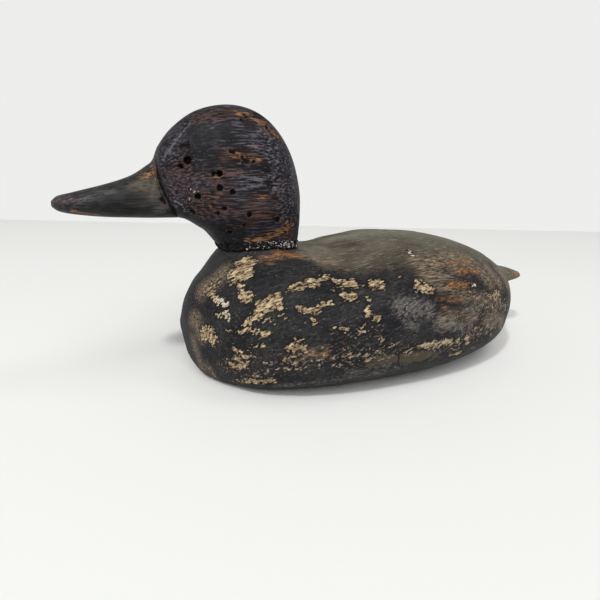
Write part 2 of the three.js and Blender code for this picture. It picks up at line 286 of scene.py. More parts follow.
# Lower edge of the olive paint on the back: (X, distance down from the ridge). The edge wavers, and below
# it and in front, the olive runs out over a blur.
OLIVE_EDGE = (
    (-30, 24), (-24, 31), (-13, 37), (1, 42), (9, 44), (28, 40), (50, 38), (70, 36), (90, 36), (112, 36),
    (137, 18),
)
OLIVE_WAVER = 2
OLIVE_WAVER_SIZE = 20
OLIVE_BLUR = 18
OLIVE_START = -31
OLIVE_START_BLUR = 10
# How far down from the ridge the lighter streaks reach: scratches, and a painted highlight on the top of the
# back
RIDGE_SCRATCH_AND_HIGHLIGHT_WIDTH = 26

# Holes in the left of the head: (X, height, radius, depth), and gouges, written as the wear is
HEAD_HOLES = (
    (-80.6, 105.3, 1.9, 3), (-83, 102.6, 1.3, 2.4), (-67.6, 99.8, 1.5, 3),
    (-70.3, 99.6, 1, 1.6), (-67.5, 93.8, 1.5, 2), (-62, 92, 1.3, 2), (-77, 90, 1.6, 2.6),
    (-65.6, 84.9, 1.2, 1.6), (-69, 82.2, 1.1, 1.6), (-79, 83, 1.5, 1.2), (-54, 82, 1.4, 2),
    (-56.3, 76.8, 1, 1.2), (-63, 73, 1.4, 2), (-40.3, 79, 1.5, 2), (-34.2, 98.6, 0.9, 1.6),
    (-27.6, 79, 0.9, 1.2), (-56, 122.8, 0.9, 1), (-44, 120.6, 1.1, 1), (-54, 125, 1, 0.8),
)
GOUGES = (
    (-57.4, 106, -51.6, 105.2, 1.1), (-62.4, 108.8, -60.4, 108, 0.7), (-82.8, 110.6, -79.4, 111.4, 1.1),
    (-54.4, 124.2, -50.6, 124.6, 1), (-49.8, 124.4, -47, 124, 1.2), (-46.4, 122.6, -44.8, 121.6, 0.7),
    (-44.6, 119.8, -42.4, 118, 0.9), (-58, 104.6, -54.4, 104.2, 0.5), (-91.8, 88.4, -91, 86.6, 1.2),
    (-92.4, 92.6, -92, 91, 0.7), (-91.6, 97, -91.4, 96, 0.5),
)
GOUGE_DEPTH = 1.2

# Walls of a hole and of a gouge, as shares of its radius or half width: where the slope starts and how
# wide it is, where the painted shade inside starts to end and over what width, and where the worn rim
# starts. The rim's width comes last, in millimetres.
HOLE_WALL = (0.45, 0.75, 0.4, 1, 1.1, 0.9)
GOUGE_WALL = (0.4, 1, 0.3, 0.8, 1.1, 0.8)

# How uneven the rims of holes and gouges are, how long that unevenness is, and the share of the marks'
# wavering that holes take on
RIM_ROUGH = 0.2
RIM_ROUGH_SIZE = 1.8
HOLE_WAVER = 0.12

# The chip at the back of the crown: its place (X, height), its radius, its depth, how uneven it is and how
# long that unevenness is
CROWN_CHIP = (-47.2, 124.8)
CROWN_CHIP_RADIUS = 3.6
CROWN_CHIP_DEPTH = 1.8
CROWN_CHIP_ROUGH = 0.3
CROWN_CHIP_ROUGH_SIZE = 2

# Depth and length of the tools' flats on the head, and how much of a section the bill's paint takes to
# come in
HEAD_TOOL_DEPTH = 0.18
HEAD_TOOL_SIZE = 20
BILL_BLUR = 0.25

# Wear on the head's left side, as on the body, with places as (X, height)
HEAD_WEAR = {
    "rust": (
        (-56, 69, -43, 70.6, 1.2), (-44, 71.6, -33, 75, 1.8), (-36, 76.6, -31, 76.8, 0.8),
        (-61, 107.4, -50, 105.4, 1.3), (-63, 108.6, -60, 108.4, 0.6), (-51, 89.4, -44, 90.8, 0.6),
        (-52, 83, -47, 83, 0.5), (-56, 124.8, -48, 124, 2), (-50, 123.4, -45, 121, 1.8),
        (-45, 120, -40, 116, 1.4), (-60, 126, -56, 126, 0.5), (-99, 98.6, -93.4, 100, 1.6),
        (-95, 102, -93.4, 100, 1.2), (-94, 97, -93.6, 95, 0.5), (-69.5, 97.9, -66, 97.6, 0.4),
        (-129, 83.4, -119, 81.8, 1.1), (-74, 86, -66, 86.6, 0.4), (-72, 89.6, -67, 90, 0.4),
    ),
    "brown": (
        (-74, 123, -59, 125, 2.3), (-76, 89.4, -66, 90, 1.4), (-79, 86, -64, 86, 1.8),
        (-77, 83, -66, 83, 1.2), (-64, 85, -59, 84, 0.8), (-73, 92, -70, 92, 0.6),
        (-54, 89, -44, 89.4, 1.4), (-54, 83, -44, 81, 2.1), (-46, 71, -32, 73, 2.2),
        (-64, 108, -51, 106.6, 1.8), (-84, 102, -77, 101, 1.2), (-70, 98.6, -64, 98.6, 1.4),
        (-46, 121, -39, 116, 2), (-56, 125, -46, 123, 2.4), (-66, 100, -58, 101, 0.6),
        (-60, 77, -52, 78, 0.8),
    ),
    "tint": (
        (-89, 99, -86, 94, 1.8), (-86, 92, -80, 92, 2), (-84, 99, -78, 99, 2.4), (-42, 88, -38, 96, 1),
        (-75, 99, -73, 100, 1.4), (-74, 95, -62, 95, 1.6), (-52, 84, -42, 85, 1), (-135, 88, -128, 88, 1.4),
    ),
    "scuff": (
        (-62, 101, -52, 96, 2.8), (-52, 98, -39, 94, 2.4), (-48, 110, -41, 105, 2), (-47, 118, -40, 112, 2.2),
        (-39, 93, -36, 79, 0.6), (-58, 96, -46, 98, 1.4), (-64, 112, -50, 112, 2), (-86, 112, -80, 118, 0.1),
        (-60, 90, -46, 87, 0.3), (-134, 89, -128, 88.4, 1.2), (-33, 88, -31, 104, 0.5),
        (-92, 84, -88, 82, 1.2), (-126, 88, -112, 92, 0.4), (-86, 88, -82, 84, 1),
    ),
    "tan": ((-102, 94.4, -95, 93.4, 1.8), (-99, 96.4, -95, 95.8, 0.8), (-95.4, 91, -94.8, 90, 0.6)),
    "dark": (
        (-68, 68, -56, 70, 3), (-78, 79, -64, 70, 3.6), (-58, 76, -48, 78, 1.2), (-77, 117, -63, 114, 3.4),
        (-73, 76, -60, 74, 4.6), (-86, 82, -73, 76, 3), (-72, 109, -66, 105, 2.4), (-60, 79, -54, 77, 1.6),
        (-80, 108, -76, 110, 1.4), (-118, 86, -98, 83.4, 0.8), (-72, 103, -68, 103, 1),
    ),
    "white": ((-79, 92.2, -77.2, 91.6, 0.5), (-80, 88.6, -78.6, 87.4, 0.3)),
}

# Rubbed edges of the flats beside the crown, as places (X, height) and a half width
FACET_RUB = ((-90, 105, -84, 113, 0.3), (-84, 113, -77, 121, 0.3))

# How far inside an edge a mark reaches its full strength, and how far the marks' outlines waver
BODY_EDGE = 2.6
HEAD_EDGE = 1.3
WAVER = 0.4
WAVER_SIZE = 7

# The far side, which is not seen, repeats the wear a little smaller. On the body it is turned end for
# end about a middle, is moved down, and only one mark in so many is repeated. The head's far side has
# every second hole, moved back and down.
FAR_SIDE_SCALE = 0.86
FAR_SIDE_SHARE = 2
FAR_SIDE_MIDDLE = 2
FAR_SIDE_DROP = 3
FAR_SIDE_HOLE_SHIFT = 3

# Share of the usual gloss that old matt paint keeps
PAINT_GLOSS = 0.14

# The camera, as the photograph has it: its place in millimetres, its turns in degrees, its focal length and
# the picture's width in pixels, and the sensor's width in millimetres
CAMERA_PLACE = (-97.9, -211.2, 104.5)
CAMERA_TURN = 20.0
CAMERA_TILT = -18.2
CAMERA_ROLL = 0.97
FOCAL_PIXELS = 415.0
PICTURE_PIXELS = 600.0
SENSOR_WIDTH = 36.0

# The stage, in metres, and the floor's finish. The sky's light changes between two heights, as shares of
# the way straight up.
CLIP_START = 0.01
FLOOR_REACH = 3.0
FLOOR_ROUGHNESS = 0.6
FLOOR_GLOSS = 0.2
SKY_TURN = (0.3, 0.65)
BILL_LIGHT_PLACE = (-1.2, -0.95, 2.2)
TAIL_LIGHT_PLACE = (1.1, -0.33, 2.2)
ROOM_LIGHT_PLACE = (-0.45, -1.5, 2.2)


def paint(red, green, blue):
    """A colour seen as these 0 to 255 values, as the linear colour a shader needs."""
    seen = np.array((red, green, blue)) / 255
    linear = np.where(seen <= 0.04045, seen / 12.92, ((seen + 0.055) / 1.055) ** 2.4)
    return tuple(float(value) for value in linear)


def signed_power(value, power):
    """The power of a number's size, with the number's sign."""
    return np.sign(value) * np.abs(value) ** power


def fade(distance, width):
    """Smooth step from 1 at zero down to 0 at the width."""
    share = np.clip(distance / width, 0, 1)
    return 1 - share * share * (3 - 2 * share)


def monotone_line(points, at):
    """A cubic through the points that never swings past them: at each point the slope is the weighted
    harmonic mean of the slopes on both sides, or zero where they differ in sign."""
    starts, values = np.array(points, float).T
    steps = np.diff(starts)
    slopes = np.diff(values) / steps
    before, after = slopes[:-1], slopes[1:]
    weight_before = 2 * steps[1:] + steps[:-1]
    weight_after = steps[1:] + 2 * steps[:-1]
    turning = before * after <= 0
    safe_before = np.where(turning, 1, before)
    safe_after = np.where(turning, 1, after)
    mean = (weight_before + weight_after) / (weight_before / safe_before + weight_after / safe_after)
    tangents = np.concatenate((slopes[:1], np.where(turning, 0, mean), slopes[-1:]))
    k = np.clip(np.searchsorted(starts, at, side="right") - 1, 0, len(steps) - 1)
    t = np.clip((at - starts[k]) / steps[k], 0, 1)
    first = (1 + 2 * t) * (1 - t) ** 2 * values[k] + t * (1 - t) ** 2 * steps[k] * tangents[k]
    second = t * t * (3 - 2 * t) * values[k + 1] + t * t * (t - 1) * steps[k] * tangents[k + 1]
    return first + second


def ripples(points, size, seed, waves=28):
    """Smooth noise, mostly between -1 and 1: a sum of plane waves in random directions, from 0.7 to 1.6
    times the size long."""
    draw = np.random.default_rng(seed)
    directions = draw.normal(size=(waves, 3))
    directions /= np.linalg.norm(directions, axis=1, keepdims=True)
    lengths = size * draw.uniform(0.7, 1.6, waves)
    phases = draw.uniform(0, 2 * np.pi, waves)
    angles = points @ (directions * (2 * np.pi / lengths)[:, None]).T + phases
    return np.cos(angles).sum(axis=-1) / np.sqrt(waves)


def spread_evenly(travelled, values, count):
    """Count values, at even steps of the distance travelled. Both arrays run from start to end."""
    return np.interp(np.linspace(0, travelled[-1], count), travelled, values)


def spread_round(travelled, values, sides):
    """The same for each ring: values at even steps of the way round, which runs from 0 to 1."""
    ring = np.arange(len(travelled))[:, None] * 2
    wanted = ring + np.arange(sides) / sides
    values = np.broadcast_to(values, travelled.shape)
    return np.interp(wanted.ravel(), (ring + travelled).ravel(), values.ravel()).reshape(wanted.shape)


def running_total(steps):
    """The steps of each row added up, starting at zero."""
    return np.concatenate((np.zeros(steps.shape[:-1] + (1,)), np.cumsum(steps, axis=-1)), axis=-1)


def path_length(points):
    """Distance travelled along each row of points, starting at zero."""
    return running_total(np.linalg.norm(np.diff(points, axis=-2), axis=-1))


def outward(grid):
    """Unit normals of a grid of rings: the step along the ring crossed with the step to the next ring."""
    along = np.roll(grid, -1, axis=1) - np.roll(grid, 1, axis=1)
    across = np.gradient(grid, axis=0)
    normal = np.cross(along, across)
    return normal / np.maximum(np.linalg.norm(normal, axis=-1, keepdims=True), 1e-9)


def seat_height(x):
    """Height of the seat under the neck: a parabola that falls towards the breast and the back."""
    return SEAT_HEIGHT - SEAT_ARCH * ((x - NECK_CENTRE) / NECK_HALF_LENGTH) ** 2


def body_points(distance, angle):
    """The body's skin. Each ring is two half superellipses that meet at the widest height:
    y = half width * sin(angle) ^ (2 / roundness), and z goes from the widest height towards the top or the
    underside as |cos(angle)| ^ (2 / roundness). Angle 0 is the ridge. Below zero it is planed flat, and
    round the neck it is cut to the seat."""
    def line(name):
        return monotone_line(BODY_LINES[name], distance)

    upper = np.cos(angle) >= 0
    roundness = np.where(upper, line("upper_roundness"), line("lower_roundness"))
    edge = np.where(upper, line("top"), line("underside"))
    middle = line("widest_height")
    x = distance - LENGTH / 2 + 0 * angle
    y = -line("half_width") * signed_power(np.sin(angle), 2 / roundness)
    z = middle + (edge - middle) * np.abs(np.cos(angle)) ** (2 / roundness)
    behind = (x - NECK_CENTRE) / NECK_HALF_LENGTH
    outside = np.hypot(behind, y / NECK_HALF_WIDTH) - SEAT_MARGIN
    fall = SEAT_FALL_FRONT + (SEAT_FALL_BACK - SEAT_FALL_FRONT) * np.clip(0.5 + behind / 2, 0, 1)
    cut = z + (seat_height(x) - z) * fade(outside * NECK_HALF_WIDTH, fall)
    z = np.where(upper & (z > middle + SEAT_ABOVE_WIDEST), cut, z)
    return np.stack((x, y, np.maximum(z, 0)), axis=-1)


def body_grid(rings, sides):
    """Rings at even steps of travel along the body's lines, each with even steps over the skin, but longer
    ones over the flat underside. Gives the points, and how far each is down from the ridge."""
    sample = np.linspace(BREAST, LENGTH, LINE_SAMPLES)
    names = ("top", "underside", "half_width")
    lines = [sample] + [monotone_line(BODY_LINES[name], sample) for name in names]
    distance = spread_evenly(path_length(np.stack(lines, axis=-1)), sample, rings)[:, None]
    angle = np.linspace(0, 2 * np.pi, RING_SAMPLES)[None, :]
    dense = body_points(distance, angle)
    gone = path_length(dense)
    on_floor = dense[..., 2] < 0.01
    flat = on_floor[:, 1:] & on_floor[:, :-1]
    weighted = running_total(np.diff(gone, axis=1) * np.where(flat, UNDERSIDE_SHARE, 1))
    weighted = weighted / weighted[:, -1:]
    side_gone = spread_round(weighted, gone, sides)
    down = np.minimum(side_gone, gone[:, -1:] - side_gone)
    return body_points(distance, spread_round(weighted, angle, sides)), down


def head_section(place):
    """Catmull-Rom through the head's sections, at whole or broken places: the seven numbers of a section."""
    sections = np.array(HEAD_SECTIONS, float)
    before, after = 2 * sections[:1] - sections[1:2], 2 * sections[-1:] - sections[-2:-1]
    sections = np.concatenate((before, sections, after))
    k = np.clip(np.floor(place).astype(int), 0, len(HEAD_SECTIONS) - 2)
    t = (place - k)[..., None]
    a, b, c, d = (sections[k + step] for step in range(4))
    curve = 2 * b + (c - a) * t + (2 * a - 5 * b + 4 * c - d) * t**2 + (3 * b - a - 3 * c + d) * t**3
    return np.moveaxis(0.5 * curve, -1, 0)


def head_points(place, angle):
    """The head's skin. Each section is a superellipse from the throat (angle 0) to the crown (half a turn),
    fanned out in side view from the throat's point to the outer one, with flats beside the crown. The foot
    bends with the seat. Gives the points and each section's side share, 1 at its widest."""
    inner_at, inner_z, outer_at, outer_z, half_width, roundness, widest = head_section(place)
    share = 0.5 - 0.5 * signed_power(np.cos(angle), 2 / roundness)
    up = share ** (np.log(widest) / np.log(0.5))
    side = np.abs(signed_power(np.sin(angle), 2 / roundness))
    facet = fade(CROWN_SECTION - place, FACET_END_CROWN) * fade(place - FACE_SECTION, FACET_END_FACE)
    flat = 1 - (1 - FACET_TOP) * np.clip((up - FACET_START) / (1 - FACET_START), 0, 1)
    side = side - facet * np.maximum(side - flat, 0)
    bow = GROOVE_BOW * fade(np.abs(place - GROOVE_SECTION), GROOVE_BOW_REACH) * np.sin(np.pi * up)
    x = inner_at + (outer_at - inner_at) * up - bow - LENGTH / 2
    y = -np.sign(np.sin(angle)) * half_width * side
    z = inner_z + (outer_z - inner_z) * up
    z = z + (seat_height(x) - SEAT_HEIGHT) * fade(z - NECK_FOOT, NECK_BEND)
    return np.stack((x, y, z), axis=-1), side


def head_grid(rings, sides):
    """Rings at even steps over the outside of the head, closer together at the groove, each with even
    steps over the skin. Gives the points, how deep each lies in the groove, 0 to 1, and its place among
    the sections."""
    sample = np.linspace(0, len(HEAD_SECTIONS) - 1, HEAD_SAMPLES)
    outer = head_section(sample)[2:4].T
    middle = head_points(sample, np.pi / 2 + 0 * sample)[0]
    travelled = path_length(outer) + path_length(middle)
    near = np.exp(-(((sample[1:] - GROOVE_SECTION) / GROOVE_EXTRA_REACH) ** 2))
    travelled = running_total(np.diff(travelled) * (1 + GROOVE_EXTRA_RINGS * near))
    place = spread_evenly(travelled, sample, rings)[:, None]
    angle = np.linspace(0, 2 * np.pi, RING_SAMPLES)[None, :]
    gone = path_length(head_points(place, angle)[0])
    angle = spread_round(gone / gone[:, -1:], angle, sides)
    place = place + 0 * angle
    points, side = head_points(place, angle)
    line, _ = head_points(GROOVE_SECTION + 0 * angle, angle)
    away = np.linalg.norm(points - line, axis=-1)
    groove = np.clip(1 - away / GROOVE_HALF_WIDTH, 0, 1)
    dip = GROOVE_DIP_SHARE * fade(away, GROOVE_DIP_HALF_WIDTH)
    cut = GROOVE_DEPTH * ((1 - GROOVE_DIP_SHARE) * groove + dip) * np.sqrt(side)
    points[..., 1] = np.sign(points[..., 1]) * np.maximum(np.abs(points[..., 1]) - cut, 0)
    return points, groove, place


def tool_flats(noise):
    """The flats left by the carver's tools, as shares of their depth: they rise with the noise."""
    return np.clip(noise * 0.5 + 0.5, 0, 1.4)


def stretch_distance(points, stops):
    """Distance of every point to a line through the stops."""
    nearest = np.full(len(points), np.inf)
    for start, end in zip(stops[:-1], stops[1:]):
        way = end - start
        share = np.clip((points - start) @ way / max(way @ way, 1e-9), 0, 1)
        nearest = np.minimum(nearest, np.linalg.norm(points - start - share[:, None] * way, axis=1))
    return nearest


class Skin:
    """A piece's grid of points while it is being worn: where each point is on its side's own map, and
    which side it is on."""

    def __init__(self, grid, across, left, edge):
        self.points = grid.reshape(-1, 3)
        self.map = np.stack((self.points[:, 0], across.ravel()), axis=-1)
        self.left = left.ravel()
        self.edge = edge
        waver = [ripples(self.points, WAVER_SIZE, seed) for seed in (1, 2, 3)]
        self.wavering = self.points + WAVER * np.stack(waver, axis=-1)

    def stops(self, mark, left, count=5):
        """Points of the skin along a mark, from its two places on the map."""
        places = np.linspace(mark[:2], mark[2:4], count)
        here = self.left if left else ~self.left
        away = ((self.map[None] - places[:, None]) ** 2).sum(axis=-1)
        return self.points[np.where(here, away, np.inf).argmin(axis=1)]

    def point(self, place, left):
        """The point of the skin nearest to a place on the map."""
        return self.stops((*place, *place), left, 1)[0]

    def amount(self, marks, left=True, points=None):
        """How strongly the marks are there: a half at their edges, 1 so far inside, 0 as far outside, and
        down to -1 beyond."""
        total = np.full(len(self.points), -1.0)
        for mark in marks:
            away = stretch_distance(self.wavering if points is None else points, self.stops(mark, left))
            total = np.maximum(total, 0.5 + (mark[4] - away) / (2 * self.edge))
        return total


def turned_marks(marks):
    """The marks for the body's side that is not seen."""
    turn, drop = 2 * FAR_SIDE_MIDDLE, FAR_SIDE_DROP
    return [
        (turn - x1, y1 + drop, turn - x2, y2 + drop, width * FAR_SIDE_SCALE)
        for x1, y1, x2, y2, width in marks[::FAR_SIDE_SHARE]
    ]


def add_object(name, data):
    """A new object in the scene."""
    added = bpy.data.objects.new(name, data)
    bpy.context.scene.collection.objects.link(added)
    return added


def link_piece(name, points, faces, marks, node, material):
    """Puts points in millimetres and faces of three or four corners into a smooth mesh that replaces its
    node and stays inside the node's box. Every entry of marks becomes an attribute of the points."""
    low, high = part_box(node)
    points = np.clip(points * MM, np.array(low), np.array(high))
    corners = np.concatenate([group.ravel() for group in faces])
    sizes = np.concatenate([np.full(len(group), group.shape[1]) for group in faces])
    mesh = bpy.data.meshes.new(name)
    mesh.vertices.add(len(points))
    mesh.vertices.foreach_set("co", points.ravel())
    mesh.loops.add(len(corners))
    mesh.loops.foreach_set("vertex_index", corners.astype(np.int32))
    mesh.polygons.add(len(sizes))
    mesh.polygons.foreach_set("loop_start", (np.cumsum(sizes) - sizes).astype(np.int32))
    for mark, values in marks.items():
        attribute = mesh.attributes.new(mark, "FLOAT", "POINT")
        attribute.data.foreach_set("value", values.astype(np.float32))
    mesh.update(calc_edges=True)
    mesh.validate()
    mesh.shade_smooth()
    mesh.materials.append(material)
    piece = add_object(name, mesh)
    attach(piece, "root")
    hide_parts(node)
    return piece


def grid_faces(rings, sides, closed):
    """Faces of a grid of rings, each running to the next side, then to the next ring."""
    ring = np.arange(rings if closed else rings - 1)[:, None]
    side = np.arange(sides)[None, :]
    next_ring = (ring + 1) % rings * sides
    next_side = (side + 1) % sides
    corners = (ring * sides + side, ring * sides + next_side, next_ring + next_side, next_ring + side)
    return np.stack(corners, axis=-1).reshape(-1, 4)


def make_carving(name, grid, ends, marks, node, material):
    """A closed skin over a grid of rings, each end drawn to one point."""
    rings, sides = grid.shape[:2]
    side = np.arange(sides)
    following = (side + 1) % sides
    last = (rings - 1) * sides
    front = np.stack((np.full(sides, rings * sides), following, side), axis=-1)
    back = np.stack((np.full(sides, rings * sides + 1), last + side, last + following), axis=-1)
    points = np.concatenate((grid.reshape(-1, 3), np.array(ends, float)))
    marks = {
        mark: np.concatenate((values, [values[:sides].mean(), values[-sides:].mean()]))
        for mark, values in marks.items()
    }
    return link_piece(name, points, (grid_faces(rings, sides, False), front, back), marks, node, material)


class Finish:
    """A material while it is being mixed: its nodes, and short ways to add and join them."""

    def __init__(self, name):
        self.material = bpy.data.materials.new(name)
        self.material.use_nodes = True
        self.tree = self.material.node_tree
        self.shader = self.tree.nodes["Principled BSDF"]
        self.place = self.tree.nodes.new("ShaderNodeTexCoord").outputs["Object"]

    def node(self, kind, **settings):
        """A new node of this kind."""
        node = self.tree.nodes.new(kind)
        for name, value in settings.items():
            setattr(node, name, value)
        return node

    def feed(self, socket, value):
        """Joins another node's value to a socket, or sets the socket to a plain value."""
        if isinstance(value, bpy.types.NodeSocket):
            self.tree.links.new(value, socket)
        else:
            socket.default_value = value

    def mark(self, name):
        """How strongly a mark of the piece is there at each point."""
        return self.node("ShaderNodeAttribute", attribute_name=name).outputs["Fac"]

    def height(self):
        """Height over the floor, in metres."""
        split = self.node("ShaderNodeSeparateXYZ")
        self.feed(split.inputs[0], self.place)
        return split.outputs["Z"]

    def grain(self, size, stretch, shift, detail=3.0, rise=0.0):
        """Noise about 0.5, its spots so many millimetres across and stretched along the wood's grain, which
        may rise towards the tail by some degrees. The shift sets noises of one size apart."""
        turn = self.node("ShaderNodeMapping", vector_type="TEXTURE")
        self.feed(turn.inputs["Vector"], self.place)
        turn.inputs["Scale"].default_value = (stretch, 1, 1)
        turn.inputs["Rotation"].default_value = (0, -np.radians(rise), 0)
        turn.inputs["Location"].default_value = (shift, 2 * shift, -shift)
        noise = self.node("ShaderNodeTexNoise")
        self.feed(noise.inputs["Vector"], turn.outputs["Vector"])
        noise.inputs["Scale"].default_value = 1 / (size * MM)
        noise.inputs["Detail"].default_value = detail
        return noise.outputs["Fac"]

    def sum(self, value, factor, added=0.0):
        """The value times the factor, plus what is added."""
        node = self.node("ShaderNodeMath", operation="MULTIPLY_ADD")
        for socket, part in zip(node.inputs, (value, factor, added)):
            self.feed(socket, part)
        return node.outputs["Value"]

    def product(self, value, factor):
        node = self.node("ShaderNodeMath", operation="MULTIPLY")
        self.feed(node.inputs[0], value)
        self.feed(node.inputs[1], factor)
        return node.outputs["Value"]

    def step(self, value, low, high, top=1.0):
        """Smooth step from 0 at low to the top value at high."""
        node = self.node("ShaderNodeMapRange", interpolation_type="SMOOTHSTEP")
        for socket, part in zip(node.inputs, (value, low, high, 0.0, top)):
            self.feed(socket, part)
        return node.outputs["Result"]

    def broken(self, mark, fine, coarse, strength=1.25):
        """A mark whose edge, at a half, is broken up by two noises."""
        return self.sum(fine, strength, self.sum(coarse, strength, self.sum(mark, 1.0, -strength)))

    def ragged(self, mark, fine, coarse, low=0.5, high=0.6, strength=1.25):
        """A mark's shape with a broken edge."""
        return self.step(self.broken(mark, fine, coarse, strength), low, high)

    def over(self, under, colour, share):
        """One colour laid over another by a share."""
        node = self.node("ShaderNodeMix", data_type="RGBA")
        colours = [socket for socket in node.inputs if socket.type == "RGBA"]
        self.feed(node.inputs[0], share)
        for socket, value in zip(colours, (under, colour)):
            self.feed(socket, value if isinstance(value, bpy.types.NodeSocket) else (*value, 1.0))
        return next(socket for socket in node.outputs if socket.type == "RGBA")

    def coats(self, colour, *coats, within=None):
        """A colour under coats of others. Each coat is a colour, the noise or mark that it follows, the
        values of that between which it comes in, and how much of it there is at most. Within a mark, the
        coats are there as strongly as the mark."""
        for coat, follows, *reach in coats:
            share = self.step(follows, *reach)
            share = share if within is None else self.product(within, share)
            colour = self.over(colour, coat, share)
        return colour

    def finish(self, colour, roughness, relief, relief_depth):
        """Joins colour, roughness and relief (its depth in millimetres) to the shader."""
        self.feed(self.shader.inputs["Base Color"], colour)
        self.feed(self.shader.inputs["Roughness"], roughness)
        self.shader.inputs["Specular IOR Level"].default_value = PAINT_GLOSS
        bump = self.node("ShaderNodeBump")
        bump.inputs["Strength"].default_value = 1.0
        bump.inputs["Distance"].default_value = relief_depth * MM
        self.feed(bump.inputs["Height"], relief)
        self.feed(self.shader.inputs["Normal"], bump.outputs["Normal"])
        return self.material


def body_paint(look):
    """Old black paint, olive on the back, over bare wood that shows in flaked patches."""
    mix = Finish("body_paint")
    fine = mix.grain(1.0, 2.2, 0.11, rise=20)
    flake = mix.grain(2.2, 1.8, 0.23, rise=20)
    cloud = mix.grain(14, 1.5, 0.37)
    hair = mix.grain(0.8, 8, 0.51, rise=8)
    speck = mix.grain(0.9, 1.5, 0.67, detail=1.0)
    thread = mix.grain(0.9, 4, 0.83, rise=24)

    # Black paint, then olive paint over it
    colour = mix.coats(
        look.paint_dark,
        (look.paint_light, cloud, 0.36, 0.66),
        (paint(70, 69, 70), hair, 0.5, 0.76, 0.6),
        (paint(108, 102, 94), speck, 0.64, 0.78, 0.7),
        (paint(9, 9, 13), fine, 0.54, 0.34, 0.75),
    )
    olive = mix.coats(look.back_dark, (look.back_light, cloud, 0.2, 0.76))
    # Lighter streaks near the ridge: scratches, and a painted highlight on the top of the back
    olive = mix.coats(olive, (paint(118, 113, 98), hair, 0.25, 0.6, 0.85), within=mix.mark("ridge_scratches_and_highlight"))
    olive = mix.coats(
        olive,
        (paint(138, 132, 116), hair, 0.55, 0.68, 0.6),
        (paint(44, 39, 33), fine, 0.46, 0.3, 0.6),
    )
    colour = mix.over(colour, olive, mix.ragged(mix.mark("olive"), fine, flake, 0.1, 0.9, 0.7))

    # Brown stains, with a painted highlight in those on the breast's front edge, dark smudges and a darker
    # patch in the hollow behind the neck, grey dust, and the smooth patches low on the side
    colour = mix.coats(
        colour,
        (paint(116, 100, 83), hair, 0.32, 0.56, 0.9),
        (paint(60, 52, 44), fine, 0.48, 0.34, 0.7),
        (paint(150, 134, 114), hair, 0.54, 0.66, 0.75),
        within=mix.step(mix.mark("stains_and_edge_highlight"), -0.4, 1.2),
    )
    # Dark smudges, and a darker patch in the hollow behind the neck
    colour = mix.coats(colour, (paint(34, 29, 26), mix.mark("smudges_and_hollow_darkening"), -0.2, 1.1, 0.6))
    colour = mix.coats(
        colour,
        (paint(110, 105, 100), fine, 0.25, 0.66, 0.65),
        (paint(138, 134, 130), speck, 0.58, 0.72, 0.7),
        within=mix.ragged(mix.mark("dust"), fine, flake, 0.1, 1.2, 1.2),
    )
    flat = mix.ragged(mix.mark("flat"), fine, flake, 0.45, 0.7, 0.6)
    colour = mix.over(colour, paint(72, 64, 52), mix.product(flat, 0.85))

    # Wood rubbed to a rusty brown
    worn = mix.coats(
        look.worn_wood,
        (paint(62, 44, 34), thread, 0.54, 0.38),
        (paint(178, 128, 80), hair, 0.52, 0.7, 0.7),
    )
    rust = mix.ragged(mix.mark("rust"), hair, flake, 0.2, 1.0, 0.9)
    colour = mix.over(colour, worn, mix.product(rust, 0.75))

    # Bare wood, with a dark line of painted shade round it, where the paint's edge stands over the wood
    broken = mix.broken(mix.mark("bare"), fine, flake)
    bare = mix.step(broken, 0.5, 0.6)
    wood = mix.coats(
        look.bare_wood,
        (paint(98, 76, 55), fine, 0.52, 0.38),
        (paint(198, 179, 145), thread, 0.52, 0.62, 0.9),
        (paint(208, 202, 184), mix.mark("pale"), 0.1, 1.0, 0.8),
        (paint(34, 28, 25), mix.sum(thread, 0.7, mix.product(speck, 0.5)), 0.56, 0.5, 0.95),
    )
    # Painted shade: a dark line just outside each bare patch
    colour = mix.coats(colour, (paint(12, 11, 12), broken, 0.22, 0.46, 0.75))
    colour = mix.over(colour, wood, bare)

    # The chipped band, the crack, and painted shade darkening the lowest edge towards the floor
    band = mix.mark("chips")
    chipped = mix.sum(speck, 0.8, mix.sum(thread, 0.9, mix.sum(band, 0.08, -0.45)))
    chipped = mix.product(mix.step(chipped, 0.5, 0.6), mix.step(band, -0.2, 0.5))
    chip = mix.coats(paint(160, 144, 124), (paint(80, 66, 56), flake, 0.66, 0.42))
    colour = mix.coats(colour, (paint(12, 11, 12), flake, 0.5, 0.38), within=mix.step(band, 0, 1, 0.6))
    colour = mix.over(colour, chip, chipped)
    colour = mix.coats(
        colour,
        (paint(14, 12, 12), mix.mark("crack"), 0.42, 0.6),
        # Painted shade where the body meets the floor: darker over the lowest 5 mm
        (paint(26, 24, 23), mix.height(), 5 * MM, 0.5 * MM, 0.6),
    )

    roughness = mix.sum(mix.step(bare, 0, 1, 0.2), 1.0, mix.sum(fine, 0.3, look.roughness - 0.15))
    relief = mix.sum(hair, 0.5, mix.sum(fine, 0.5, mix.product(bare, -0.6)))
    relief = mix.sum(chipped, -0.35, relief)
    return mix.finish(colour, roughness, relief, look.relief)


